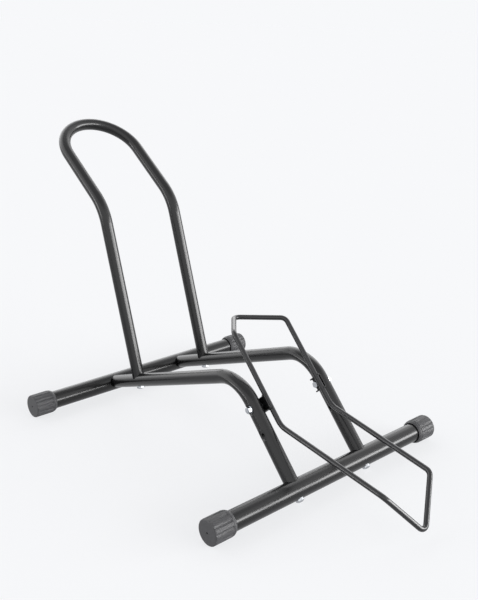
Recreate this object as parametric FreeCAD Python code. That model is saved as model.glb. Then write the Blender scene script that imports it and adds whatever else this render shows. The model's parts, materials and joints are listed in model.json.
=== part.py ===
"""Floor bike rack: two cross tubes on capped feet, two bent side tubes, a wheel hoop,
and a hinged wire cradle that swings up behind the tyre as the wheel rolls in.

Millimetres, +Z up, X along the cross tubes, +Y from the entry side towards the hoop.
The origin is on the floor under the middle of the rack's box.
"""
import FreeCAD, Part
import math
import os

os.makedirs("parts", exist_ok=True)
Vec = FreeCAD.Vector

# ---------------------------------------------------------------- driving dimensions (mm)
# cross tubes
cross_tube_diameter = 32.0
cross_tube_wall = 1.5
cross_tube_length = 492.0
cross_tube_spacing = 498.0       # between the axes of the front and the rear tube
leg_seat_depth = 2.5             # each cross tube is pressed flat under the tubes it carries
leg_seat_clearance = 1.2         # radial, round the carried tube

# end caps
cap_wall = 4.5
cap_length = 41.0
cap_end_thickness = 5.0
cap_bore_clearance = 0.1         # radial
cap_edge_round = 2.5
cap_collar_length = 7.0          # plain collar between the flutes and the mouth
cap_collar_drop = 2.6            # how far the collar tapers in towards the mouth
cap_mouth_depth = 2.5            # open ring round the tube at the mouth
cap_mouth_lip = 0.6              # what is left outside that ring
cap_flute_count = 12
cap_flute_radius = 3.6
cap_flute_depth = 0.9
cap_vent_diameter = 2.6
cap_vent_depth = 1.5

# side tubes
side_tube_diameter = 24.0
side_tube_wall = 1.5
side_tube_spacing = 155.0        # between the two side tubes' axes
bend_corner_y = 135.0            # the corner of the bend, from the front cross tube's axis
bend_corner_height = 143.0       # and above that axis
side_bend_radius = 71.0
bend_flattening = 2.25           # bending presses the tube in, each way in the bend's plane
bend_widening = 1.0              # and spreads it, each way across that plane

# hoop
hoop_tube_diameter = 22.0
hoop_tube_wall = 1.5
hoop_foot_distance = 94.0        # along the side tube from the rear cross tube's axis
hoop_leg_length = 326.0          # from the side tube's axis to the kink
hoop_leg_lean = 19.2             # degrees back from upright
hoop_top_pitch = 34.8            # degrees up from level, above the kink
hoop_top_length = 140.0          # from the kink to where the half-round top begins
hoop_kink_radius = 95.0

# cradle pivots on the short legs
pivot_distance = 139.0           # along the short leg from the front cross tube's axis
spare_hole_distance = 95.0
pivot_bolt_diameter = 6.0
pivot_hole_clearance = 0.25      # radial, in the tube
pivot_running_clearance = 0.08   # radial, bracket on bolt
pivot_head_across_flats = 10.0
pivot_head_height = 4.0
pivot_nut_height = 6.0
pivot_thread_stand_out = 1.5     # bolt end past the nut
washer_diameter = 12.0
washer_thickness = 1.2
spacer_thickness = 1.5
outer_dimple_depth = 3.0         # pressed seat for the nut on the tube's outer face
inner_dimple_depth = 1.0         # and for the spacer on its inner face
dimple_clearance = 0.5           # radial, round the washer or the spacer
dimple_side_slope = 1.2          # width of a dimple's sloping side over its depth
side_play = 0.3                  # bracket to spacer and bolt head to bracket

# cradle brackets, bent from strip and welded across the rod
bracket_thickness = 2.0
bracket_length = 24.0            # along the rod
bracket_depth = 6.7              # from the web's back to the rod's axis
bracket_back_reach = 4.5         # behind the bolt's axis
bracket_inner_bend = 1.0

# cradle, a closed loop of round bar; its places are (y, height) from the pivot's axis as
# the rack stands open, and the elbows and inner corners lie in the brackets' plane
rod_diameter = 8.5
cradle_elbow = (-40.1, -21.9)
cradle_inner_corner = (76.1, 97.5)
cradle_inner_tip = (142.6, 92.2)
cradle_outer_corner = (-244.2, -50.0)
cradle_outer_tip = (-283.2, -111.9)
cradle_outer_pinch = 3.5         # how far each side runs in from elbow to outer corner
rod_tip_radius = 10.0
rod_corner_radius = 14.0
rod_elbow_radius = 30.0

# bolts that hold the tubes together, and the threaded plugs they screw into
foot_bolt_diameter = 8.0
foot_bolt_head_diameter = 14.0
foot_bolt_head_height = 4.8      # above the crown of the tube it sits on
foot_bolt_rim_height = 1.8       # straight rim under the dome
foot_bolt_socket_across_flats = 5.0
foot_bolt_socket_depth = 3.0
foot_bolt_hole_clearance = 0.3   # radial
thread_clearance = 0.05          # radial, bolt in its plug or nut
plug_setback = 9.0               # from the crown of the crossed tube to the plug
plug_thickness = 12.0
foot_bolt_stand_out = 3.0        # bolt end past the plug

# ---------------------------------------------------------------- sizes that follow
cross_radius = cross_tube_diameter / 2
side_radius = side_tube_diameter / 2
hoop_radius = hoop_tube_diameter / 2
rod_radius = rod_diameter / 2
cap_radius = cross_radius + cap_wall
half_spacing = side_tube_spacing / 2
axis_height = cap_radius
SIDES = {"left": -1, "right": 1}

# across each leg, from the side tube's axis: inwards to the spacer, the bracket and the
# bolt's head, outwards to the washer, the nut and the bolt's end
spacer_start = side_radius - inner_dimple_depth
bracket_start = spacer_start + spacer_thickness + side_play
head_start = bracket_start + bracket_thickness + side_play
washer_start = side_radius - outer_dimple_depth
nut_start = washer_start + washer_thickness
bolt_end = nut_start + pivot_nut_height + pivot_thread_stand_out
cradle_half_width = half_spacing - bracket_start - bracket_depth

# modelling values
past = 1.0                       # a cut runs this far past the face it opens
shortest_run = 0.01              # a straight run shorter than this is left out
bend_stations = 9                # sections that carry a flattened bend's shape


# ---------------------------------------------------------------- shapes
def unit(vector):
    return Vec(vector).normalize()


def bar(start, end, radius):
    """A round bar from start to end."""
    along = end - start
    return Part.makeCylinder(radius, along.Length, start, along)


def hexagon(centre, axis, across_flats, height):
    """A hexagonal prism that starts at centre and runs along axis."""
    sides = 6
    corner_radius = across_flats / (2 * math.cos(math.pi / sides))
    one_way = unit(axis.cross(Vec(0, 0, 1)))
    other_way = axis.cross(one_way)
    corners = []
    for index in range(sides + 1):
        turn = 2 * math.pi * index / sides
        corners.append(centre + one_way * (corner_radius * math.cos(turn))
                       + other_way * (corner_radius * math.sin(turn)))
    return Part.Face(Part.makePolygon(corners)).extrude(axis * height)


def block(origin, way_a, length_a, way_b, length_b, way_c, length_c):
    """A block from origin along three square directions."""
    corners = [origin, origin + way_a * length_a,
               origin + way_a * length_a + way_b * length_b, origin + way_b * length_b, origin]
    return Part.Face(Part.makePolygon(corners)).extrude(way_c * length_c)


def closest_edge(shape, point):
    """The edge of shape whose centre is nearest to point."""
    return min(shape.Edges, key=lambda edge: edge.CenterOfMass.distanceToPoint(point))


def round_arc(start, middle, axis, turn, radius):
    """A bend of a round bar, from start by turn about an axis through middle."""
    first = Part.Wire(Part.makeCircle(radius, start, axis.cross(start - middle)))
    return Part.Face(first).revolve(middle, axis, math.degrees(turn))


def flattened_arc(start, middle, axis, turn, radius):
    """The same bend as a thin tube takes it: round at both ends, flatter in between."""
    sections = []
    for index in range(bend_stations):
        share = index / (bend_stations - 1)
        pressed = math.sin(math.pi * share) ** 2
        spoke = FreeCAD.Rotation(axis, math.degrees(turn * share)).multVec(start - middle)
        if index in (0, bend_stations - 1):
            section = Part.makeCircle(radius)
        else:
            section = Part.Ellipse(Vec(0, 0, 0), radius + bend_widening * pressed,
                                   radius - bend_flattening * pressed).toShape()
        inward = unit(spoke) * -1
        facing = FreeCAD.Rotation(axis, inward, axis.cross(inward), "ZXY")
        section.Placement = FreeCAD.Placement(middle + spoke, facing)
        sections.append(Part.Wire(section))
    return Part.makeLoft(sections, True, False)


def bent_bar(corners, bend_radii, radius, closed=False, make_arc=round_arc):
    """A round bar along straight runs, with a tangent arc at each corner.

    bend_radii has one radius for each corner that turns: all of them on a closed loop,
    all but the two ends on an open run.
    """
    count = len(corners)
    turning = range(count) if closed else range(1, count - 1)
    leave = list(corners)
    arrive = list(corners)
    pieces = []
    for index, bend in zip(turning, bend_radii):
        corner = corners[index]
        back = unit(corners[index - 1] - corner)
        ahead = unit(corners[(index + 1) % count] - corner)
        turn = math.pi - back.getAngle(ahead)
        setback = bend * math.tan(turn / 2)
        arrive[index] = corner + back * setback
        leave[index] = corner + ahead * setback
        middle = corner + unit(back + ahead) * (bend / math.cos(turn / 2))
        axis = unit(ahead.cross(back))
        pieces.append(make_arc(arrive[index], middle, axis, turn, radius))
    last = count if closed else count - 1
    for index in range(last):
        start = leave[index]
        end = arrive[(index + 1) % count]
        if (end - start).Length > shortest_run:
            pieces.append(bar(start, end, radius))
    return pieces[0].fuse(pieces[1:]).removeSplitter()


def largest_solid(shape):
    """What a cut leaves, without its offcuts."""
    return max(shape.Solids, key=lambda solid: solid.Volume)


def dimple(seat, outward, depth, flat_radius, behind=0.0):
    """The dish that a press leaves: flat at seat, sloping out to the surface depth away.

    behind moves it back by the wall, for the same dish on the tube's inner face.
    """
    height = depth + behind + past
    near_radius = flat_radius + behind
    return Part.makeCone(near_radius, near_radius + dimple_side_slope * height, height,
                         seat - outward * behind, outward)


# ---------------------------------------------------------------- places in the rack
bend_height = axis_height + bend_corner_height
short_way = unit(Vec(0, bend_corner_y, bend_corner_height))
long_way = unit(Vec(0, bend_corner_y - cross_tube_spacing, bend_corner_height))
lean = math.radians(hoop_leg_lean)
pitch = math.radians(hoop_top_pitch)
hoop_up = Vec(0, math.sin(lean), math.cos(lean))
hoop_back = Vec(0, math.cos(pitch), math.sin(pitch))

front_axis = {}
rear_axis = {}
bend_corner = {}
hoop_foot = {}
hoop_kink = {}
hoop_shoulder = {}
for name, side in SIDES.items():
    front_axis[name] = Vec(side * half_spacing, 0, axis_height)
    rear_axis[name] = Vec(side * half_spacing, cross_tube_spacing, axis_height)
    bend_corner[name] = Vec(side * half_spacing, bend_corner_y, bend_height)
    hoop_foot[name] = rear_axis[name] + long_way * hoop_foot_distance
    hoop_kink[name] = hoop_foot[name] + hoop_up * hoop_leg_length
    hoop_shoulder[name] = hoop_kink[name] + hoop_back * (hoop_top_length + half_spacing)


def on_leg(side, distance):
    """A point on a short leg's axis."""
    return Vec(side * half_spacing, 0, axis_height) + short_way * distance


def on_cradle(side, place, half_width=cradle_half_width):
    """A corner of the cradle, from its (y, height) off the pivot's axis."""
    pivot_axis = on_leg(0, pivot_distance)
    return Vec(side * half_width, pivot_axis.y + place[0], pivot_axis.z + place[1])


# each foot bolt: a point on the crossed tube's axis, that tube's radius and its direction,
# and the way the bolt points
foot_bolts = {}
for name in SIDES:
    across = Vec(1, 0, 0)
    foot_bolts["front_foot", name] = (front_axis[name], cross_radius, across, short_way)
    foot_bolts["rear_foot", name] = (rear_axis[name], cross_radius, across, long_way)
    foot_bolts["hoop_foot", name] = (hoop_foot[name], side_radius, long_way, hoop_up)


def bolt_hole(key):
    """The clearance hole for a foot bolt, through both walls of the crossed tube."""
    centre, crossed_radius, crossed_way, way = foot_bolts[key]
    reach = crossed_radius + plug_setback
    return bar(centre - way * reach, centre + way * reach,
               foot_bolt_diameter / 2 + foot_bolt_hole_clearance)


# ---------------------------------------------------------------- cross tubes
def cross_tube(foot, y):
    """A straight round tube, pressed flat and drilled where it carries the side tubes."""
    left_end = Vec(-cross_tube_length / 2, y, axis_height)
    right_end = Vec(cross_tube_length / 2, y, axis_height)
    outside = bar(left_end, right_end, cross_radius)
    inside = bar(left_end, right_end, cross_radius - cross_tube_wall)
    for name in SIDES:
        centre, crossed_radius, crossed_way, way = foot_bolts[foot, name]
        seat = centre + way * (crossed_radius - leg_seat_depth)
        flat_radius = side_radius + leg_seat_clearance
        outside = outside.cut(dimple(seat, way, leg_seat_depth, flat_radius))
        inside = inside.cut(dimple(seat, way, leg_seat_depth, flat_radius, cross_tube_wall))
    tube = outside.cut(inside)
    for name in SIDES:
        tube = tube.cut(bolt_hole((foot, name)))
    return tube


def end_cap(side, y):
    """A fluted cap: flat end with a vent dimple, plain collar, open ring at the mouth."""
    outward = Vec(side, 0, 0)
    end = Vec(side * (cross_tube_length / 2 + cap_end_thickness), y, axis_height)
    mouth = end - outward * cap_length
    collar = mouth + outward * cap_collar_length
    body = bar(collar, end, cap_radius)
    body = body.makeFillet(cap_edge_round, [closest_edge(body, end)])
    mouth_radius = cap_radius - cap_collar_drop
    cap = body.fuse(Part.makeCone(mouth_radius, cap_radius, cap_collar_length, mouth, outward))
    flute_centre = cap_radius - cap_flute_depth + cap_flute_radius
    for index in range(cap_flute_count):
        turn = 2 * math.pi * (index + 0.5) / cap_flute_count
        offset = Vec(0, flute_centre * math.cos(turn), flute_centre * math.sin(turn))
        cap = cap.cut(bar(collar + offset, end + offset + outward * past, cap_flute_radius))
    cap = cap.cut(bar(mouth, end - outward * cap_end_thickness,
                      cross_radius + cap_bore_clearance))
    cap = cap.cut(bar(mouth, mouth + outward * cap_mouth_depth, mouth_radius - cap_mouth_lip))
    cap = cap.cut(bar(end - outward * cap_vent_depth, end, cap_vent_diameter / 2))
    return largest_solid(cap)


# ---------------------------------------------------------------- side tubes
def side_tube(name):
    """Coped on both cross tubes, pierced and dimpled at the two pivot stations."""
    side = SIDES[name]
    outward = Vec(side, 0, 0)
    corners = [rear_axis[name], bend_corner[name], front_axis[name]]
    outside = bent_bar(corners, [side_bend_radius], side_radius, make_arc=flattened_arc)
    inside = bent_bar(corners, [side_bend_radius], side_radius - side_tube_wall,
                      make_arc=flattened_arc)
    flat_radius = washer_diameter / 2 + dimple_clearance
    for distance in (pivot_distance, spare_hole_distance):
        for way, depth in ((outward, outer_dimple_depth), (outward * -1, inner_dimple_depth)):
            seat = on_leg(side, distance) + way * (side_radius - depth)
            outside = outside.cut(dimple(seat, way, depth, flat_radius))
            inside = inside.cut(dimple(seat, way, depth, flat_radius, side_tube_wall))
    tube = outside.cut(inside)
    hole_reach = outward * side_tube_diameter
    for distance in (pivot_distance, spare_hole_distance):
        centre = on_leg(side, distance)
        tube = tube.cut(bar(centre - hole_reach, centre + hole_reach,
                            pivot_bolt_diameter / 2 + pivot_hole_clearance))
    cope_reach = Vec(side_tube_diameter, 0, 0)
    for centre in (front_axis[name], rear_axis[name]):
        tube = tube.cut(bar(centre - cope_reach, centre + cope_reach, cross_radius))
    return largest_solid(tube.cut(bolt_hole(("hoop_foot", name))))


# ---------------------------------------------------------------- hoop
def hoop():
    """One bent tube with a half-round top, each leg coped on its side tube."""
    corners = [hoop_foot["left"], hoop_kink["left"], hoop_shoulder["left"],
               hoop_shoulder["right"], hoop_kink["right"], hoop_foot["right"]]
    radii = [hoop_kink_radius, half_spacing, half_spacing, hoop_kink_radius]
    tube = bent_bar(corners, radii, hoop_radius)
    tube = tube.cut(bent_bar(corners, radii, hoop_radius - hoop_tube_wall))
    for name in SIDES:
        tube = tube.cut(bar(rear_axis[name], bend_corner[name], side_radius))
    return largest_solid(tube)


# ---------------------------------------------------------------- foot bolts and plugs
def foot_bolt(key):
    """Domed socket bolt whose head is hollowed underneath to sit on the round tube."""
    centre, crossed_radius, crossed_way, way = foot_bolts[key]
    head_radius = foot_bolt_head_diameter / 2
    crown = crossed_radius + foot_bolt_head_height
    rim_top = crossed_radius + foot_bolt_rim_height
    rim_low = math.sqrt(crossed_radius ** 2 - head_radius ** 2)
    rim = bar(centre - way * rim_low, centre - way * rim_top, head_radius)
    rise = crown - rim_top
    dome_radius = (head_radius ** 2 + rise ** 2) / (2 * rise)
    dome = Part.makeSphere(dome_radius, centre - way * (crown - dome_radius))
    dome = dome.common(bar(centre - way * rim_top, centre - way * (crown + past), head_radius))
    reach = crossed_way * foot_bolt_head_diameter
    head = rim.fuse(dome).cut(bar(centre - reach, centre + reach, crossed_radius))
    tip = crossed_radius + plug_setback + plug_thickness + foot_bolt_stand_out
    shank = bar(centre - way * rim_top, centre + way * tip, foot_bolt_diameter / 2)
    socket = hexagon(centre - way * (crown - foot_bolt_socket_depth), way * -1,
                     foot_bolt_socket_across_flats, foot_bolt_socket_depth + past)
    return head.fuse(shank).removeSplitter().cut(socket)


def tube_plug(key):
    """The threaded plug welded inside the tube's end."""
    centre, crossed_radius, crossed_way, way = foot_bolts[key]
    plug_radius = side_radius - side_tube_wall
    if key[0] == "hoop_foot":
        plug_radius = hoop_radius - hoop_tube_wall
    start = centre + way * (crossed_radius + plug_setback)
    return ring(start, way, 0, plug_thickness, plug_radius,
                foot_bolt_diameter / 2 + thread_clearance)


# ---------------------------------------------------------------- pivots
def ring(centre, axis, start, thickness, outer_radius, hole_radius):
    """A flat ring, start away from centre along axis."""
    near = centre + axis * start
    far = near + axis * thickness
    return bar(near, far, outer_radius).cut(bar(near, far, hole_radius))


def pivot_bolt(side):
    """Hex bolt: its head is inside the bracket, its shank passes through the leg."""
    centre = on_leg(side, pivot_distance)
    inward = Vec(-side, 0, 0)
    head = hexagon(centre + inward * head_start, inward, pivot_head_across_flats,
                   pivot_head_height)
    shank = bar(centre + inward * head_start, centre - inward * bolt_end,
                pivot_bolt_diameter / 2)
    return head.fuse(shank)


def pivot_nut(side):
    """Hex nut, its outer corners trimmed by a 45 degree cone."""
    outward = Vec(side, 0, 0)
    seat = on_leg(side, pivot_distance) + outward * nut_start
    nut = hexagon(seat, outward, pivot_head_across_flats, pivot_nut_height)
    face_radius = pivot_head_across_flats / 2
    trim = Part.makeCone(face_radius + pivot_nut_height, face_radius, pivot_nut_height,
                         seat, outward)
    bore = bar(seat - outward * past, seat + outward * (pivot_nut_height + past),
               pivot_bolt_diameter / 2 + thread_clearance)
    return nut.common(trim).cut(bore)


def pivot_washer(side):
    return ring(on_leg(side, pivot_distance), Vec(side, 0, 0), washer_start, washer_thickness,
                washer_diameter / 2, pivot_bolt_diameter / 2 + pivot_hole_clearance)


def pivot_spacer(side):
    return ring(on_leg(side, pivot_distance), Vec(-side, 0, 0), spacer_start,
                spacer_thickness, washer_diameter / 2,
                pivot_bolt_diameter / 2 + pivot_hole_clearance)


# ---------------------------------------------------------------- cradle
def cradle_rod():
    """A closed loop of round bar, pointed at both ends, with an elbow below each pivot."""
    outer_half_width = cradle_half_width - cradle_outer_pinch
    corners = [on_cradle(0, cradle_outer_tip),
               on_cradle(-1, cradle_outer_corner, outer_half_width),
               on_cradle(-1, cradle_elbow), on_cradle(-1, cradle_inner_corner),
               on_cradle(0, cradle_inner_tip),
               on_cradle(1, cradle_inner_corner), on_cradle(1, cradle_elbow),
               on_cradle(1, cradle_outer_corner, outer_half_width)]
    half_radii = [rod_tip_radius, rod_corner_radius, rod_elbow_radius, rod_corner_radius]
    far_radii = [rod_tip_radius, rod_corner_radius, rod_elbow_radius, rod_corner_radius]
    return bent_bar(corners, half_radii + far_radii, rod_radius, closed=True)


def cradle_bracket(side):
    """A channel of strip: its web turns on the pivot, its flanges are welded to the rod."""
    pivot = on_leg(side, pivot_distance)
    inward = Vec(-side, 0, 0)
    rod_low = on_cradle(side, cradle_elbow)
    rod_high = on_cradle(side, cradle_inner_corner)
    rod_way = unit(rod_high - rod_low)
    across = Vec(0, -rod_way.z, rod_way.y)
    width = bracket_back_reach + (rod_low - pivot).dot(across) + rod_radius
    origin = pivot - rod_way * (bracket_length / 2) - across * bracket_back_reach
    origin = origin + inward * bracket_start
    outer_bend = bracket_inner_bend + bracket_thickness
    channel = channel_block(origin, rod_way, bracket_length, across, width, inward,
                            bracket_depth, outer_bend)
    hollow_origin = origin + (rod_way + inward) * bracket_thickness - across * past
    hollow = channel_block(hollow_origin, rod_way, bracket_length - 2 * bracket_thickness,
                           across, width + 2 * past, inward, bracket_depth,
                           bracket_inner_bend)
    bracket = channel.cut(hollow).cut(bar(rod_low, rod_high, rod_radius))
    hole_radius = pivot_bolt_diameter / 2 + pivot_running_clearance
    return largest_solid(bracket.cut(bar(pivot, pivot + inward * half_spacing, hole_radius)))


def channel_block(origin, along, length, across, width, inward, depth, bend_radius):
    """A block whose two edges at the web, where the strip is bent, are rounded."""
    whole = block(origin, along, length, across, width, inward, depth)
    web_edges = [closest_edge(whole, origin + along * place + across * (width / 2))
                 for place in (0, length)]
    return whole.makeFillet(bend_radius, web_edges)


# ---------------------------------------------------------------- the whole rack
shapes = {}
shapes["front_cross_tube"] = cross_tube("front_foot", 0.0)
shapes["rear_cross_tube"] = cross_tube("rear_foot", cross_tube_spacing)
shapes["hoop_tube"] = hoop()
shapes["cradle_rod"] = cradle_rod()
for name, side in SIDES.items():
    shapes["front_cap_" + name] = end_cap(side, 0.0)
    shapes["rear_cap_" + name] = end_cap(side, cross_tube_spacing)
    shapes["side_tube_" + name] = side_tube(name)
    shapes["cradle_bracket_" + name] = cradle_bracket(side)
    shapes["pivot_bolt_" + name] = pivot_bolt(side)
    shapes["pivot_nut_" + name] = pivot_nut(side)
    shapes["pivot_washer_" + name] = pivot_washer(side)
    shapes["pivot_spacer_" + name] = pivot_spacer(side)
for key in foot_bolts:
    shapes[key[0] + "_bolt_" + key[1]] = foot_bolt(key)
    shapes[key[0] + "_plug_" + key[1]] = tube_plug(key)

# the rack is moved along Y until the origin is under the middle of its box
box = Part.makeCompound(list(shapes.values())).optimalBoundingBox(True, False)
shift = Vec(0, -(box.YMin + box.YMax) / 2, 0)
for name, shape in shapes.items():
    placed = shape.translated(shift)
    placed.exportStep("parts/" + name + ".step")
    print(name, "solids", len(placed.Solids), "volume", round(placed.Volume, 1))

print("box", [round(value, 2) for value in
              (box.XMin, box.XMax, box.YMin + shift.y, box.YMax + shift.y,
               box.ZMin, box.ZMax)])
print("pivot", on_leg(1, pivot_distance) + shift)
print("spare hole", on_leg(1, spare_hole_distance) + shift)
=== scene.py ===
# %% [markdown]
# # A floor bike rack, dressed for a picture
# The rack is bent steel tube with a black powder coat, four moulded plastic caps on its
# feet, and a hinged cradle of round bar. Its construction arrives ready made as a fixed
# frame, in metres, with the floor at z = 0. This script adds what the frame lacks: the
# finish of each surface, the caps' fluted shape, the weld beads, the floor and the light.
# A new Blender file holds a cube, a lamp and a camera, so they are taken out first.

# %% Load the frame
import bpy
import bmesh
import json
import math
from mathutils import Matrix, Vector

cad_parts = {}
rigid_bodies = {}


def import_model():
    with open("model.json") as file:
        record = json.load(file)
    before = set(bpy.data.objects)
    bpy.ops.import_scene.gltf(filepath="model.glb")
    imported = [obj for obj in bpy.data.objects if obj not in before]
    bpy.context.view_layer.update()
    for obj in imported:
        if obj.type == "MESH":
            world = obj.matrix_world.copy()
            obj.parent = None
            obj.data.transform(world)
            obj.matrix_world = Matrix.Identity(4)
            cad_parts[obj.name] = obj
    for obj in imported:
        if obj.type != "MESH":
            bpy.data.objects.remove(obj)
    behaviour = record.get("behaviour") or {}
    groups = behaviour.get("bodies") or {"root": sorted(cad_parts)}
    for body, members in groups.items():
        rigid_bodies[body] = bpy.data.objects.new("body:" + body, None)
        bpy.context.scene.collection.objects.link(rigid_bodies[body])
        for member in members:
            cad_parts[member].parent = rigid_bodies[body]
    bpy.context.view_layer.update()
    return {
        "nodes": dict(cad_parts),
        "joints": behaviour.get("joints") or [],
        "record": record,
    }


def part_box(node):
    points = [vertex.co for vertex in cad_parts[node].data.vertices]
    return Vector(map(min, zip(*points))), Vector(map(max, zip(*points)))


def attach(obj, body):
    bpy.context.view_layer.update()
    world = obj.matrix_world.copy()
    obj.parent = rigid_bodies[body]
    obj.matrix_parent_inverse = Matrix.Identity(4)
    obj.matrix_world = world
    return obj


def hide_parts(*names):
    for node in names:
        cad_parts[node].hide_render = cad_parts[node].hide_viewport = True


for leftover in list(bpy.data.objects):
    bpy.data.objects.remove(leftover)

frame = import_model()
MM = 0.001

# %% [markdown]
# ## Colours and nodes
# A colour is easiest to read as a hex code, the way a paint chart gives it. Blender
# computes light on linear values, so one function turns the code into those. A second
# function adds a node, sets its properties and fills its sockets: a plain value is set on
# the socket, and another node's output is linked to it. Every material, geometry tree and
# the world below are built with these two. The third and fourth give a noise its scale, and
# pick the rays that see the pale background.

# %% Colour and node helpers
def colour(code):
    """A '#rrggbb' code as the linear colour that a socket takes."""
    channels = []
    for start in (1, 3, 5):
        value = int(code[start:start + 2], 16) / 255
        channels.append(value / 12.92 if value <= 0.04045 else ((value + 0.055) / 1.055) ** 2.4)
    return (*channels, 1.0)


def add_node(tree, kind, sockets=None, **settings):
    """Adds a node of this kind, with its settings, and fills or links its sockets."""
    node = tree.nodes.new(kind)
    for name, value in settings.items():
        setattr(node, name, value)
    for name, value in (sockets or {}).items():
        if isinstance(value, bpy.types.NodeSocket):
            tree.links.new(value, node.inputs[name])
        else:
            node.inputs[name].default_value = value
    return node


def pattern_scale(size_mm):
    """The scale of a noise whose grains are this many millimetres across."""
    return 1 / (size_mm * MM)


def picture_rays(tree, path):
    """1 for the camera's rays and those of glossy and clear surfaces, 0 for the rest."""
    seen = path["Is Camera Ray"]
    for other_ray in ("Is Glossy Ray", "Is Transmission Ray"):
        seen = add_node(tree, "ShaderNodeMath", {0: seen, 1: path[other_ray]},
                        operation="MAXIMUM").outputs[0]
    return seen


print("the grey #808080 is", round(colour("#808080")[0], 3), "in linear light")

# %% [markdown]
# ## Finishes
# Each surface has three layers of detail, all read from Object coordinates so that they
# stay put when the cradle swings: a slow drift of tone, a fine grain in the roughness, and
# a bump. Only their sizes and depths differ from one finish to the next, so one function
# builds them all, and each finish gives it the sizes of the real process.

# %% One recipe for a finish
NOISE_LOW, NOISE_HIGH = 0.3, 0.7     # most values of a noise lie between these


def finish(name, dark, light, roughness, drift_mm, grain_mm, bump_depth_mm, **shader):
    """A material whose colour drifts from dark to light and whose roughness has a range."""
    material = bpy.data.materials.new(name)
    material.use_nodes = True
    tree = material.node_tree
    surface = tree.nodes["Principled BSDF"]
    place = add_node(tree, "ShaderNodeTexCoord").outputs["Object"]
    drift = add_node(tree, "ShaderNodeTexNoise",
                     {"Vector": place, "Scale": pattern_scale(drift_mm), "Detail": 3.0})
    grain = add_node(tree, "ShaderNodeTexNoise",
                     {"Vector": place, "Scale": pattern_scale(grain_mm), "Detail": 2.0})
    # a Mix node has sockets for each type of data: 6, 7 and output 2 are those for colours
    tone = add_node(tree, "ShaderNodeMix",
                    {0: drift.outputs["Fac"], 6: colour(dark), 7: colour(light)},
                    data_type="RGBA")
    low, high = roughness
    gloss = add_node(tree, "ShaderNodeMapRange",
                     {"Value": grain.outputs["Fac"], "From Min": NOISE_LOW,
                      "From Max": NOISE_HIGH, "To Min": low, "To Max": high})
    relief = add_node(tree, "ShaderNodeBump",
                      {"Height": grain.outputs["Fac"], "Distance": bump_depth_mm * MM})
    tree.links.new(tone.outputs[2], surface.inputs["Base Color"])
    tree.links.new(gloss.outputs["Result"], surface.inputs["Roughness"])
    tree.links.new(relief.outputs["Normal"], surface.inputs["Normal"])
    for socket, value in shader.items():
        surface.inputs[socket.replace("_", " ")].default_value = value
    return material


# %% [markdown]
# ### Powder coat on the tubes
# Powder is sprayed on dry and melted in an oven. It flows into a smooth, slightly wavy
# skin, called orange peel, with waves 2 to 3 mm apart and one or two thousandths of a
# millimetre deep. That gives a long soft streak instead of a sharp mirror image. The carbon
# black in it leaves almost no colour, and the resin reflects like any lacquer.

# %% Powder coat
powder_coat = finish("powder_coated_steel", "#0b0b0c", "#111112", (0.22, 0.26),
                     drift_mm=60, grain_mm=2.4, bump_depth_mm=0.0015,
                     Specular_IOR_Level=0.34)
print("made", powder_coat.name)

# %% [markdown]
# ### The cradle's coat and its brackets
# The cradle is drawn bar with a thinner coat from the same line: a slightly greyer black
# with finer waves. The brackets are pressed strip with a duller coat, and they lie in the
# rod's shadow. Their colour is also set a touch darker than the tubes' as painted shade, so
# they look the darkest of all. Both use the tubes' recipe with other numbers.

# %% Cradle and bracket coats
rod_coat = finish("powder_coated_round_bar", "#1a1a1c", "#202022", (0.21, 0.25),
                  drift_mm=45, grain_mm=1.6, bump_depth_mm=0.001,
                  Specular_IOR_Level=0.38)
# the brackets' colour, a touch darker than the tubes', is painted shade; the weld beads take it
# too
bracket_coat_with_painted_shade = finish("powder_coated_strip_painted_shade", "#0a0a0b", "#0f0f10", (0.34, 0.44),
                      drift_mm=25, grain_mm=1.8, bump_depth_mm=0.003,
                      Specular_IOR_Level=0.25)
print("made", rod_coat.name, bracket_coat_with_painted_shade.name)

# %% [markdown]
# ### Moulded plastic of the caps
# The caps are injection-moulded soft polyethylene. The mould is spark eroded, which leaves
# an even matt grain of about half a millimetre, so light spreads wide over it and the caps
# look greyer than the glossy tubes beside them although both are black.

# %% Moulded caps, nylon spacers
cap_plastic = finish("moulded_polyethylene", "#313133", "#363638", (0.54, 0.60),
                     drift_mm=18, grain_mm=0.6, bump_depth_mm=0.004,
                     Specular_IOR_Level=0.5)
spacer_nylon = finish("turned_nylon", "#17171a", "#1d1d20", (0.42, 0.52),
                      drift_mm=9, grain_mm=0.5, bump_depth_mm=0.006)
print("made", cap_plastic.name, spacer_nylon.name)

# %% [markdown]
# ### Zinc on the fasteners, bare steel inside
# Bolts, nuts and washers are barrel plated with zinc, which crystallises in small cloudy
# patches. A metal has no diffuse colour: its base colour is the tint of its reflection.
# The plugs in the tube ends are plain turned steel, a little darker and duller.

# %% Zinc plate and bare steel
zinc_plate = finish("zinc_plated_steel", "#a3a6aa", "#b9bbbe", (0.18, 0.30),
                    drift_mm=4, grain_mm=0.8, bump_depth_mm=0.008, Metallic=1.0)
bare_steel = finish("turned_steel", "#8d8e90", "#9c9da0", (0.32, 0.44),
                    drift_mm=6, grain_mm=0.7, bump_depth_mm=0.01, Metallic=1.0)
print("made", zinc_plate.name, bare_steel.name)

# %% [markdown]
# ## Dress the frame's own pieces
# Tubes, rod, brackets and fasteners already have their true shape. Each belongs to a named
# slot of the record, so a table from slot to finish dresses them all.

# %% Finishes on the frame's pieces
slot_finishes = {"frame_tube": powder_coat, "cradle": rod_coat, "bracket": bracket_coat_with_painted_shade,
                 "end_cap": cap_plastic, "fastener": zinc_plate, "spacer": spacer_nylon,
                 "plug": bare_steel}
for part in frame["record"]["subparts"]:
    for material_slot in frame["nodes"][part["node"]].material_slots:
        material_slot.material = slot_finishes[part["material_slot"]]

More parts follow.
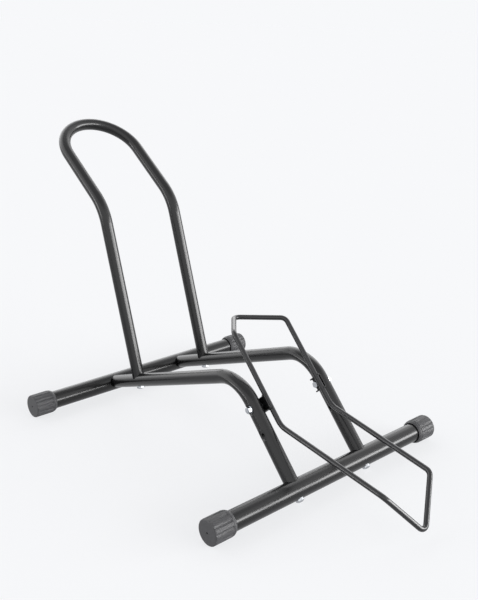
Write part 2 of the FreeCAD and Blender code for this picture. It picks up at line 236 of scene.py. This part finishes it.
# %% [markdown]
# ## Growing a piece from a geometry tree
# A geometry tree is a recipe: it takes a few named sizes and returns a mesh. The helper
# below starts a tree with those names, and a second one runs it on a small start mesh,
# keeps the result as an ordinary mesh, closes its seams, turns its faces outwards and
# shades it smooth up to a given edge angle.

# %% Geometry tree helpers
SEAM_GAP = 0.002 * MM        # points of a seam that lie closer than this become one


def start_tree(name, sizes):
    """A new geometry tree with named sizes, and the node that hands them out."""
    tree = bpy.data.node_groups.new(name, "GeometryNodeTree")
    tree.interface.new_socket("Geometry", in_out="INPUT", socket_type="NodeSocketGeometry")
    for label, kind in sizes.items():
        tree.interface.new_socket(label, in_out="INPUT", socket_type="NodeSocket" + kind)
    tree.interface.new_socket("Geometry", in_out="OUTPUT", socket_type="NodeSocketGeometry")
    return tree, tree.nodes.new("NodeGroupInput").outputs


def end_tree(tree, geometry, material):
    """Ends a tree: instances become real mesh, and the mesh gets its material."""
    real = add_node(tree, "GeometryNodeRealizeInstances", {0: geometry})
    dressed = add_node(tree, "GeometryNodeSetMaterial",
                       {"Geometry": real.outputs[0], "Material": material})
    add_node(tree, "NodeGroupOutput", {0: dressed.outputs[0]})


def grow(name, tree, sizes, points, edges, crease_degrees):
    """Runs the tree on a start mesh of points and edges, and keeps a plain mesh."""
    start = bpy.data.meshes.new(name + "_start")
    start.from_pydata(points, edges, [])
    seed = bpy.data.objects.new(name + "_seed", start)
    bpy.context.scene.collection.objects.link(seed)
    modifier = seed.modifiers.new("grow", "NODES")
    modifier.node_group = tree
    for item in tree.interface.items_tree:
        if item.in_out == "INPUT" and item.name in sizes:
            modifier[item.identifier] = sizes[item.name]
    evaluated = seed.evaluated_get(bpy.context.evaluated_depsgraph_get())
    mesh = bpy.data.meshes.new_from_object(evaluated)
    bpy.data.objects.remove(seed)
    shell = bmesh.new()
    shell.from_mesh(mesh)
    bmesh.ops.remove_doubles(shell, verts=shell.verts, dist=SEAM_GAP)
    bmesh.ops.recalc_face_normals(shell, faces=shell.faces)
    shell.to_mesh(mesh)
    shell.free()
    mesh.shade_smooth()
    mesh.set_sharp_from_angle(angle=math.radians(crease_degrees))
    piece = bpy.data.objects.new(name, mesh)
    bpy.context.scene.collection.objects.link(piece)
    print("grew", name, "with", len(mesh.polygons), "faces")
    return piece


# %% [markdown]
# ## End caps
# A cap is a body of revolution with twelve flutes down its side for grip. It could be a
# stack of cut cylinders, but every flute would then end in a hard step. Here the tree turns
# a half profile round the tube's axis and pushes each point in where a flute passes. A
# flute is the path of a ball-nosed cutter: a round groove that begins in a half-round pit
# by the collar, and gets shallower towards the closed end. The same cap then goes on all
# four tube ends, which the tree finds as the corners of a rectangle.

# %% Cap sizes, from the frame
cap_low, cap_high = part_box("front_cap_right")
tube_low, tube_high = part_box("front_cross_tube")
rear_low, rear_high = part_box("rear_cap_right")
cap_length = cap_high.x - cap_low.x
cap_radius = (cap_high.z - cap_low.z) / 2
cap_end_wall = cap_high.x - tube_high.x
front_y = (cap_low.y + cap_high.y) / 2
rear_y = (rear_low.y + rear_high.y) / 2

BORE_CLEARANCE = 0.1 * MM    # between the cap and its tube, all round
COLLAR = 6.4 * MM            # plain ring between the mouth and the flutes
COLLAR_DROP = 2.6 * MM       # how far it tapers in towards the mouth
STEP = 0.7 * MM              # depth of the groove between the collar and the fluted body
MOUTH_DEPTH = 2.5 * MM       # open ring round the tube
MOUTH_LIP = 0.6 * MM         # what is left outside that ring
EDGE_ROUND = 2.5 * MM        # round edge of the closed end
VENT_RADIUS = 1.5 * MM       # blind vent in the middle of the closed end
VENT_DEPTH = 3.0 * MM
VENT_TAPER = 0.8             # the vent's floor is this much of its mouth
FACE_RING = 0.6              # a ring of points on the closed end, as a share of the radius
FLUTES = 12
STEPS_PER_FLUTE = 16
FLUTE_RADIUS = 3.6 * MM
FLUTE_SET_BACK = 2.4 * MM    # from the groove to the cutter's middle, where it goes in
DEPTH_AT_COLLAR = 1.5 * MM   # a flute gets shallower on its way to the closed end
DEPTH_AT_END = 0.8 * MM
CAP_CREASE = 38              # degrees; a sharper edge stays an edge
cap_bore = (tube_high.z - tube_low.z) / 2 + BORE_CLEARANCE
print("cap", round(cap_length / MM, 1), "mm long,", round(cap_radius / MM, 1), "mm radius")

# %% [markdown]
# ### Half profile of a cap
# The real cap begins with an open ring round the tube. Then come a plain collar, a small
# groove and the fluted body, and the closed end has a round edge and a blind vent. All that
# is one line of points, from the bore's floor on the axis to the vent's floor on the axis.
# Straight runs get extra points, because the flutes bend them later.

# %% Cap profile
def cap_profile():
    """Points (along, out, 0) of a cap's half section, the mouth at along = 0."""
    mouth_radius = cap_radius - COLLAR_DROP
    ring_radius = mouth_radius - MOUTH_LIP
    points = [(cap_length - cap_end_wall, 0, 0), (cap_length - cap_end_wall, cap_bore, 0),
              (MOUTH_DEPTH, cap_bore, 0), (MOUTH_DEPTH, ring_radius, 0), (0, ring_radius, 0)]
    collar_steps = 7
    for index in range(collar_steps):
        share = index / (collar_steps - 1)
        swell = math.sin(share * math.pi / 2)
        points.append((share * (COLLAR - STEP),
                       mouth_radius + (COLLAR_DROP - STEP / 2) * swell, 0))
    points.append((COLLAR - STEP / 2, cap_radius - STEP, 0))
    points.append((COLLAR, cap_radius - STEP, 0))
    points.append((COLLAR + STEP, cap_radius, 0))
    pit_steps = 14
    pit_end = COLLAR + STEP + 2 * FLUTE_RADIUS
    for index in range(1, pit_steps + 1):
        points.append((COLLAR + STEP + (pit_end - COLLAR - STEP) * index / pit_steps,
                       cap_radius, 0))
    plain_steps = 8
    corner = cap_length - EDGE_ROUND
    for index in range(1, plain_steps + 1):
        points.append((pit_end + (corner - pit_end) * index / plain_steps, cap_radius, 0))
    round_steps = 7
    for index in range(1, round_steps + 1):
        turn = index / round_steps * math.pi / 2
        points.append((corner + EDGE_ROUND * math.sin(turn),
                       cap_radius - EDGE_ROUND * (1 - math.cos(turn)), 0))
    points += [(cap_length, cap_radius * FACE_RING, 0), (cap_length, VENT_RADIUS, 0),
               (cap_length - VENT_DEPTH, VENT_RADIUS * VENT_TAPER, 0),
               (cap_length - VENT_DEPTH, 0, 0)]
    return points


profile = cap_profile()
print("the cap's profile has", len(profile), "points")

# %% [markdown]
# ### A sheet of points for the cap
# The tree starts from a flat grid, with one column for each step round the axis and one row
# for each point of the profile. Every point of the grid looks up the profile point of its
# row, so it knows how far along the cap and how far out it belongs. A grid is a good start,
# because it stays joined up into faces wherever its points go.

# %% Cap tree: the sheet
cap_tree, given = start_tree("fluted_cap", {
    "Segments": "Int", "Flutes": "Float", "Flute radius": "Float", "Flute start": "Float",
    "Depth at collar": "Float", "Depth at end": "Float", "Body radius": "Float",
    "Cap length": "Float", "Between mouths": "Float", "Between tubes": "Float",
    "Middle": "Vector", "Finish": "Material"})

profile_size = add_node(cap_tree, "GeometryNodeAttributeDomainSize",
                        {"Geometry": given["Geometry"]})
sheet = add_node(cap_tree, "GeometryNodeMeshGrid",
                 {"Size X": 1.0, "Size Y": 1.0, "Vertices X": given["Segments"],
                  "Vertices Y": profile_size.outputs["Point Count"]})
on_sheet = add_node(cap_tree, "GeometryNodeInputPosition")
sheet_place = add_node(cap_tree, "ShaderNodeSeparateXYZ", {0: on_sheet.outputs[0]})
share_round = add_node(cap_tree, "ShaderNodeMath", {0: sheet_place.outputs["X"], 1: 0.5},
                       operation="ADD")
share_along = add_node(cap_tree, "ShaderNodeMath", {0: sheet_place.outputs["Y"], 1: 0.5},
                       operation="ADD")
last_row = add_node(cap_tree, "ShaderNodeMath",
                    {0: profile_size.outputs["Point Count"], 1: 1.0}, operation="SUBTRACT")
row = add_node(cap_tree, "ShaderNodeMath",
               {0: share_along.outputs[0], 1: last_row.outputs[0]}, operation="MULTIPLY")
row_number = add_node(cap_tree, "FunctionNodeFloatToInt", {0: row.outputs[0]},
                      rounding_mode="ROUND")
section = add_node(cap_tree, "GeometryNodeSampleIndex",
                   {"Geometry": given["Geometry"],
                    "Value": on_sheet.outputs[0],
                    "Index": row_number.outputs[0]},
                   data_type="FLOAT_VECTOR", domain="POINT")
along_out = add_node(cap_tree, "ShaderNodeSeparateXYZ", {0: section.outputs[0]})
along, out = along_out.outputs["X"], along_out.outputs["Y"]
print("sheet:", len(cap_tree.nodes), "nodes so far")

# %% [markdown]
# ### The angle to the nearest flute
# The flutes are cut at equal turns round the cap. A point's share of a full turn, times the
# number of flutes, has a fraction that runs from 0 to 1 across each flute, so one formula
# serves them all. Less one half, that fraction is the way to the middle of the flute, and it
# is turned into an angle.

# %% Cap tree: the flutes
in_flutes = add_node(cap_tree, "ShaderNodeMath",
                     {0: share_round.outputs[0], 1: given["Flutes"]}, operation="MULTIPLY")
in_one = add_node(cap_tree, "ShaderNodeMath", {0: in_flutes.outputs[0]},
                  operation="FRACT")
off_middle = add_node(cap_tree, "ShaderNodeMath", {0: in_one.outputs[0], 1: 0.5},
                      operation="SUBTRACT")
turn_share = add_node(cap_tree, "ShaderNodeMath",
                      {0: off_middle.outputs[0], 1: given["Flutes"]}, operation="DIVIDE")
flute_turn = add_node(cap_tree, "ShaderNodeMath",
                      {0: turn_share.outputs[0], 1: 2 * math.pi}, operation="MULTIPLY")
print("flutes:", len(cap_tree.nodes), "nodes so far")

# %% [markdown]
# ### The cutter's ball
# The round nose of the cutter is a ball, and its centre runs along the flute. On a spoke
# from the cap's axis, the near side of the ball lies half a chord closer in than its centre.
# The chord gets shorter beside the flute and before its start. Where the ball reaches
# further in than the profile, the point is pushed in to it, and by the collar that leaves
# a smooth round pit.

# %% Cap tree: the ball
depth = add_node(cap_tree, "ShaderNodeMapRange",
                 {"Value": along, "From Min": given["Flute start"],
                  "From Max": given["Cap length"], "To Min": given["Depth at collar"],
                  "To Max": given["Depth at end"]})
ball_reach = add_node(cap_tree, "ShaderNodeMath",
                      {0: given["Body radius"], 1: given["Flute radius"]}, operation="ADD")
ball_out = add_node(cap_tree, "ShaderNodeMath",
                    {0: ball_reach.outputs[0], 1: depth.outputs["Result"]},
                    operation="SUBTRACT")
cosine = add_node(cap_tree, "ShaderNodeMath", {0: flute_turn.outputs[0]},
                  operation="COSINE")
sine = add_node(cap_tree, "ShaderNodeMath", {0: flute_turn.outputs[0]}, operation="SINE")
ball_near = add_node(cap_tree, "ShaderNodeMath",
                     {0: ball_out.outputs[0], 1: cosine.outputs[0]}, operation="MULTIPLY")
ball_aside = add_node(cap_tree, "ShaderNodeMath",
                      {0: ball_out.outputs[0], 1: sine.outputs[0]}, operation="MULTIPLY")
aside_square = add_node(cap_tree, "ShaderNodeMath",
                        {0: ball_aside.outputs[0], 1: 2.0}, operation="POWER")
before_start = add_node(cap_tree, "ShaderNodeMath",
                        {0: given["Flute start"], 1: along}, operation="SUBTRACT")
before = add_node(cap_tree, "ShaderNodeMath", {0: before_start.outputs[0], 1: 0.0},
                  operation="MAXIMUM")
before_square = add_node(cap_tree, "ShaderNodeMath",
                         {0: before.outputs[0], 1: before.outputs[0]},
                         operation="MULTIPLY")
radius_square = add_node(cap_tree, "ShaderNodeMath",
                         {0: given["Flute radius"], 1: given["Flute radius"]},
                         operation="MULTIPLY")
less_aside = add_node(cap_tree, "ShaderNodeMath",
                      {0: radius_square.outputs[0], 1: aside_square.outputs[0]},
                      operation="SUBTRACT")
half_chord_square = add_node(cap_tree, "ShaderNodeMath",
                             {0: less_aside.outputs[0], 1: before_square.outputs[0]},
                             operation="SUBTRACT")
chord_square = add_node(cap_tree, "ShaderNodeMath",
                        {0: half_chord_square.outputs[0], 1: 0.0}, operation="MAXIMUM")
half_chord = add_node(cap_tree, "ShaderNodeMath", {0: chord_square.outputs[0]},
                      operation="SQRT")
flute_floor = add_node(cap_tree, "ShaderNodeMath",
                       {0: ball_near.outputs[0], 1: half_chord.outputs[0]},
                       operation="SUBTRACT")
radius_here = add_node(cap_tree, "ShaderNodeMath", {0: out, 1: flute_floor.outputs[0]},
                       operation="MINIMUM")
print("ball:", len(cap_tree.nodes), "nodes so far")

# %% [markdown]
# ### Rolling the sheet up
# Each point now knows how far along and how far out it lies, and its share of a full turn.
# The sine and cosine of that turn give its place, which rolls the sheet up round the axis.

# %% Cap tree: the roll
turn = add_node(cap_tree, "ShaderNodeMath", {0: share_round.outputs[0], 1: 2 * math.pi},
                operation="MULTIPLY")
turn_cosine = add_node(cap_tree, "ShaderNodeMath", {0: turn.outputs[0]},
                       operation="COSINE")
turn_sine = add_node(cap_tree, "ShaderNodeMath", {0: turn.outputs[0]}, operation="SINE")
across = add_node(cap_tree, "ShaderNodeMath",
                  {0: radius_here.outputs[0], 1: turn_cosine.outputs[0]},
                  operation="MULTIPLY")
upward = add_node(cap_tree, "ShaderNodeMath",
                  {0: radius_here.outputs[0], 1: turn_sine.outputs[0]},
                  operation="MULTIPLY")
cap_place = add_node(cap_tree, "ShaderNodeCombineXYZ",
                     {"X": along, "Y": across.outputs[0], "Z": upward.outputs[0]})
cap_shape = add_node(cap_tree, "GeometryNodeSetPosition",
                     {"Geometry": sheet.outputs["Mesh"],
                      "Position": cap_place.outputs[0]})
print("roll:", len(cap_tree.nodes), "nodes so far")

# %% [markdown]
# ### One cap on four tube ends
# The tube ends are the corners of a rectangle, which is a grid of two by two points. A cap
# goes on each corner as an instance, and those on the left are turned half round, so that
# all four face outwards. They are alike, as they would be from one mould.

# %% Cap tree: the corners
corners = add_node(cap_tree, "GeometryNodeMeshGrid",
                   {"Size X": given["Between mouths"], "Size Y": given["Between tubes"],
                    "Vertices X": 2, "Vertices Y": 2})
corner_place = add_node(cap_tree, "ShaderNodeSeparateXYZ", {0: on_sheet.outputs[0]})
on_left = add_node(cap_tree, "ShaderNodeMath", {0: corner_place.outputs["X"], 1: 0.0},
                   operation="LESS_THAN")
half_turn = add_node(cap_tree, "ShaderNodeMath", {0: on_left.outputs[0], 1: math.pi},
                     operation="MULTIPLY")
facing = add_node(cap_tree, "ShaderNodeCombineXYZ", {"Z": half_turn.outputs[0]})
caps = add_node(cap_tree, "GeometryNodeInstanceOnPoints",
                {"Points": corners.outputs["Mesh"], "Instance": cap_shape.outputs[0],
                 "Rotation": facing.outputs[0]})
caps_placed = add_node(cap_tree, "GeometryNodeTransform",
                       {"Geometry": caps.outputs[0], "Translation": given["Middle"]})
end_tree(cap_tree, caps_placed.outputs[0], given["Finish"])
print("cap tree has", len(cap_tree.nodes), "nodes")

# %% [markdown]
# ### The caps take their place
# The tree runs once on the profile's points and leaves one plain mesh of four caps. It
# rides on the frame's body, and it takes the place of the four plain caps of the frame.

# %% Grow the caps
end_caps = grow("end_caps", cap_tree, {
    "Segments": FLUTES * STEPS_PER_FLUTE + 1, "Flutes": float(FLUTES),
    "Flute radius": FLUTE_RADIUS, "Flute start": COLLAR + STEP + FLUTE_SET_BACK,
    "Depth at collar": DEPTH_AT_COLLAR, "Depth at end": DEPTH_AT_END,
    "Body radius": cap_radius, "Cap length": cap_length,
    "Between mouths": 2 * cap_low.x, "Between tubes": rear_y - front_y,
    "Middle": (0.0, (front_y + rear_y) / 2, (cap_low.z + cap_high.z) / 2),
    "Finish": cap_plastic},
    profile, [(index, index + 1) for index in range(len(profile) - 1)], CAP_CREASE)
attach(end_caps, "frame")
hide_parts("front_cap_left", "front_cap_right", "rear_cap_left", "rear_cap_right")

# %% [markdown]
# ## Weld beads on the cradle
# Each bracket is a small channel, and both its flanges are welded to the rod along the
# half of the rod that faces the bracket. A weld bead is a row of overlapping frozen
# ripples. A tube drawn along a half circle, with its thickness rising and falling along
# the way, gives just that, and the tree sets one on each of the four flanges, square to
# the rod.

# %% Bead sizes
ROD_RADIUS = 4.25 * MM
ROD_OFFSET = 13.46 * MM      # from the pivot's axis to the rod's
FLANGE_FACE = 12.1 * MM      # from the pivot, along the rod, to a flange's outer face
ROD_SIDE = 58.0 * MM         # from the rack's middle to the rod's axis
ROD_RUN = Vector((0, 116.2, 119.4))     # millimetres along the rod where the brackets are
BEAD_RADIUS = 1.1 * MM
BEAD_LIFT = 0.3 * MM         # the bead's middle stands this far off the rod's surface
BEAD_RIPPLES = 8.0           # along one bead
RIPPLE_SHARE = 0.14          # how much the bead swells and shrinks, as a share of it
BEAD_STEPS = 65              # points along a bead
BEAD_SIDES = 12              # and round it
BEAD_CREASE = 60             # degrees
rod_way = ROD_RUN.normalized()
rod_across = Vector((0, -rod_way.z, rod_way.y))
pivot = Vector(frame["joints"][0]["pos_m"])
print("beads of", round(BEAD_RADIUS / MM, 1), "mm radius on a rod of",
      round(ROD_RADIUS / MM, 2), "mm radius")

# %% [markdown]
# ### The bead's tree
# A half circle is the bead's way round the rod, and a small circle is its section. A sine
# along the way swells and shrinks the section, once for each ripple. One bead then stands
# at each given place, turned so that its half circle is square to the rod and open towards
# the rack's middle.

# %% Bead tree
bead_tree, given = start_tree("weld_beads", {
    "Arc radius": "Float", "Bead radius": "Float", "Ripples": "Float", "Ripple": "Float",
    "Rod way": "Vector", "Finish": "Material"})
arc = add_node(bead_tree, "GeometryNodeCurveArc",
               {"Resolution": BEAD_STEPS, "Radius": given["Arc radius"],
                "Start Angle": -math.pi / 2, "Sweep Angle": math.pi}, mode="RADIUS")
along_bead = add_node(bead_tree, "GeometryNodeSplineParameter")
ripple_turn = add_node(bead_tree, "ShaderNodeMath",
                       {0: along_bead.outputs["Factor"], 1: given["Ripples"]},
                       operation="MULTIPLY")
ripple_angle = add_node(bead_tree, "ShaderNodeMath",
                        {0: ripple_turn.outputs[0], 1: 2 * math.pi}, operation="MULTIPLY")
ripple_wave = add_node(bead_tree, "ShaderNodeMath", {0: ripple_angle.outputs[0]},
                       operation="SINE")
ripple_height = add_node(bead_tree, "ShaderNodeMath",
                         {0: ripple_wave.outputs[0], 1: given["Ripple"]},
                         operation="MULTIPLY")
thickness = add_node(bead_tree, "ShaderNodeMath", {0: ripple_height.outputs[0], 1: 1.0},
                     operation="ADD")
ring = add_node(bead_tree, "GeometryNodeCurvePrimitiveCircle",
                {"Resolution": BEAD_SIDES, "Radius": given["Bead radius"]}, mode="RADIUS")
bead = add_node(bead_tree, "GeometryNodeCurveToMesh",
                {"Curve": arc.outputs["Curve"], "Profile Curve": ring.outputs["Curve"],
                 "Scale": thickness.outputs[0], "Fill Caps": True})
flange_place = add_node(bead_tree, "GeometryNodeInputPosition")
flange_axes = add_node(bead_tree, "ShaderNodeSeparateXYZ", {0: flange_place.outputs[0]})
outward_sign = add_node(bead_tree, "ShaderNodeMath", {0: flange_axes.outputs["X"]},
                        operation="SIGN")
outward = add_node(bead_tree, "ShaderNodeCombineXYZ", {"X": outward_sign.outputs[0]})
square_to_rod = add_node(bead_tree, "FunctionNodeAxesToRotation",
                         {"Primary Axis": given["Rod way"],
                          "Secondary Axis": outward.outputs[0]},
                         primary_axis="Z", secondary_axis="X")
beads = add_node(bead_tree, "GeometryNodeInstanceOnPoints",
                 {"Points": given["Geometry"], "Instance": bead.outputs[0],
                  "Rotation": square_to_rod.outputs[0]})
end_tree(bead_tree, beads.outputs[0], given["Finish"])
print("bead tree has", len(bead_tree.nodes), "nodes")

# %% [markdown]
# ### The beads take their place
# There is one bead on the outer face of each flange, so two on either side. They are part
# of the cradle and swing with it, so they ride on its body.

# %% Grow the beads
bead_places = []
for side in (-1, 1):
    for end in (-1, 1):
        place = pivot + rod_across * ROD_OFFSET + rod_way * (FLANGE_FACE * end)
        bead_places.append((side * ROD_SIDE, place.y, place.z))
# the beads take the brackets' coat, whose darker colour is painted shade
weld_beads = grow("weld_beads", bead_tree, {
    "Arc radius": ROD_RADIUS + BEAD_LIFT, "Bead radius": BEAD_RADIUS,
    "Ripples": BEAD_RIPPLES, "Ripple": RIPPLE_SHARE, "Rod way": rod_way,
    "Finish": bracket_coat_with_painted_shade}, bead_places, [], BEAD_CREASE)
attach(weld_beads, "cradle")

# %% [markdown]
# ## Floor
# A wide pale disc stands for a studio sweep, with a very faint drift of tone. It is wide
# enough to reach the horizon, and the world behind it has the same tone, so no line shows.
# A lit light table hardly takes a shadow. So part of the floor's tone is its own glow, for
# the rays of the camera and of glossy or clear surfaces only, and the rest is paper that
# the softboxes light and the rack shades. No matt surface is lit by the glow.

# %% Floor
FLOOR_RADIUS = 40.0          # metres
FLOOR_SIDES = 96
floor_mesh = bpy.data.meshes.new("floor")
floor_shell = bmesh.new()
bmesh.ops.create_circle(floor_shell, cap_ends=True, segments=FLOOR_SIDES,
                        radius=FLOOR_RADIUS)
floor_shell.to_mesh(floor_mesh)
floor_shell.free()
floor = bpy.data.objects.new("studio_floor", floor_mesh)
bpy.context.scene.collection.objects.link(floor)
BACKDROP = "#f7f8fa"
FLOOR_GLOW = 0.76            # share of the floor's tone that no shadow can reach
floor_paint = finish("matt_studio_paper", "#efeff1", "#f0f1f3", (0.9, 0.95),
                     drift_mm=900, grain_mm=40, bump_depth_mm=0.0, Specular_IOR_Level=0.0)
paper = floor_paint.node_tree
path = add_node(paper, "ShaderNodeLightPath").outputs
glow_share = add_node(paper, "ShaderNodeMath",
                      {0: picture_rays(paper, path), 1: FLOOR_GLOW}, operation="MULTIPLY")
light_table = add_node(paper, "ShaderNodeEmission",
                       {"Color": colour(BACKDROP), "Strength": 1.0})
lit_paper = add_node(paper, "ShaderNodeMixShader",
                     {0: glow_share.outputs[0],
                      1: paper.nodes["Principled BSDF"].outputs[0],
                      2: light_table.outputs[0]})
paper.links.new(lit_paper.outputs[0], paper.nodes["Material Output"].inputs["Surface"])
floor_mesh.materials.append(floor_paint)
print("floor radius", FLOOR_RADIUS, "m")

# %% [markdown]
# ## Light
# Black gloss shows almost nothing of itself: what the eye reads as its shape are the
# reflections of the softboxes round it. So the light is drawn in the world, by direction:
# a faint dome, a ring of pale walls, about twice as bright behind, a long low strip in
# front and to the right, and a small low one on the left. Each is a patch between two
# heights and two headings with soft edges, so one function draws them all.

# %% Softboxes
DOME = 0.12                  # light from every heading and height, under the softboxes
SOFTBOXES = {
    # heading and half width (degrees, 0 looks along +Y, 90 along +X), low and high edge
    # above the horizon, softness of the edges, radiance
    "ring of walls": (0, 180, 3, 50, 5, 0.80),
    "back wall": (5, 75, 3, 52, 5, 0.85),
    "front strip": (143, 31, 4, 19, 3, 15.0),
    "left strip": (-66, 13, 1, 11, 2, 7.0),
}


def softbox(tree, direction, heading, half_width, low, high, edge, radiance):
    """The radiance of one soft patch of the sky, seen along direction."""
    towards = (math.sin(math.radians(heading)), math.cos(math.radians(heading)), 0.0)
    level = add_node(tree, "ShaderNodeVectorMath", {0: direction, 1: (1.0, 1.0, 0.0)},
                     operation="MULTIPLY")
    level_way = add_node(tree, "ShaderNodeVectorMath", {0: level.outputs[0]},
                         operation="NORMALIZE")
    facing_it = add_node(tree, "ShaderNodeVectorMath", {0: level_way.outputs[0], 1: towards},
                         operation="DOT_PRODUCT")
    height = add_node(tree, "ShaderNodeSeparateXYZ", {0: direction}).outputs["Z"]
    patch = 1.0
    if half_width + edge < 180:
        patch = add_node(tree, "ShaderNodeMapRange",
                         {"Value": facing_it.outputs["Value"],
                          "From Min": math.cos(math.radians(half_width + edge)),
                          "From Max": math.cos(math.radians(half_width - edge))},
                         interpolation_type="SMOOTHSTEP").outputs["Result"]
    for border, start, end in ((low, 0.0, 1.0), (high, 1.0, 0.0)):
        cut = add_node(tree, "ShaderNodeMapRange",
                       {"Value": height, "From Min": math.sin(math.radians(border - edge)),
                        "From Max": math.sin(math.radians(border + edge)),
                        "To Min": start, "To Max": end}, interpolation_type="SMOOTHSTEP")
        patch = add_node(tree, "ShaderNodeMath", {0: patch, 1: cut.outputs["Result"]},
                         operation="MULTIPLY").outputs[0]
    return add_node(tree, "ShaderNodeMath", {0: patch, 1: radiance},
                    operation="MULTIPLY").outputs[0]


print("softboxes to draw:", len(SOFTBOXES))

# %% [markdown]
# ### Who sees which light
# The patches add up to one glow. A Light Path node tells what kind of ray has reached the
# world: the camera sees the plain backdrop alone, a matt surface is lit by the glow alone,
# and a glossy surface sees both. So the background stays pale and even, whatever the
# softboxes do.

# %% World
world = bpy.data.worlds.new("studio")
world.use_nodes = True
bpy.context.scene.world = world
sky = world.node_tree
sky.nodes.clear()
direction = add_node(sky, "ShaderNodeTexCoord").outputs["Generated"]
glow = DOME
for name, values in SOFTBOXES.items():
    box_glow = softbox(sky, direction, *values)
    glow = add_node(sky, "ShaderNodeMath", {0: glow, 1: box_glow}, operation="ADD").outputs[0]
    print("softbox", name)
path = add_node(sky, "ShaderNodeLightPath").outputs
hidden = add_node(sky, "ShaderNodeMath", {0: 1.0, 1: path["Is Camera Ray"]},
                  operation="SUBTRACT")
glow_unseen = add_node(sky, "ShaderNodeMath", {0: glow, 1: hidden.outputs[0]},
                       operation="MULTIPLY")
plain = add_node(sky, "ShaderNodeBackground",
                 {"Color": colour(BACKDROP), "Strength": picture_rays(sky, path)})
boxes = add_node(sky, "ShaderNodeBackground",
                 {"Color": colour("#ffffff"), "Strength": glow_unseen.outputs[0]})
both = add_node(sky, "ShaderNodeAddShader", {0: plain.outputs[0], 1: boxes.outputs[0]})
add_node(sky, "ShaderNodeOutputWorld", {"Surface": both.outputs[0]})
bpy.context.scene.view_settings.view_transform = "Standard"

# %% [markdown]
# ## Camera
# The viewpoint was worked out from the rack's own known lengths as they appear in the
# picture: a 50 mm lens on a 36 mm frame, a metre and a half away, a little above and to
# the left of the entry side. The small shift is how far the rack sits off the picture's
# middle.

# %% Camera
CAMERA_PLACE = Vector((-0.8889, -1.0215, 0.7154))
CAMERA_AIM = Vector((0.0767, 0.0240, 0.2416))
CAMERA_ROLL = 1.824          # degrees
LENS_MM = 50.0
FRAME_MM = 36.0
SHIFT_ACROSS = -0.0178       # shares of the picture's longer side
SHIFT_UP = -0.0228
lens = bpy.data.cameras.new("studio_camera")
lens.lens = LENS_MM
lens.sensor_width = FRAME_MM
lens.shift_x = SHIFT_ACROSS
lens.shift_y = SHIFT_UP
camera = bpy.data.objects.new("studio_camera", lens)
bpy.context.scene.collection.objects.link(camera)
aimed = (CAMERA_AIM - CAMERA_PLACE).to_track_quat("-Z", "Y").to_matrix().to_4x4()
rolled = aimed @ Matrix.Rotation(math.radians(CAMERA_ROLL), 4, "Z")
camera.matrix_world = Matrix.Translation(CAMERA_PLACE) @ rolled
bpy.context.scene.camera = camera
print("camera looks along", [round(value, 4) for value in -rolled.col[2].xyz],
      "its right is", [round(value, 4) for value in rolled.col[0].xyz])
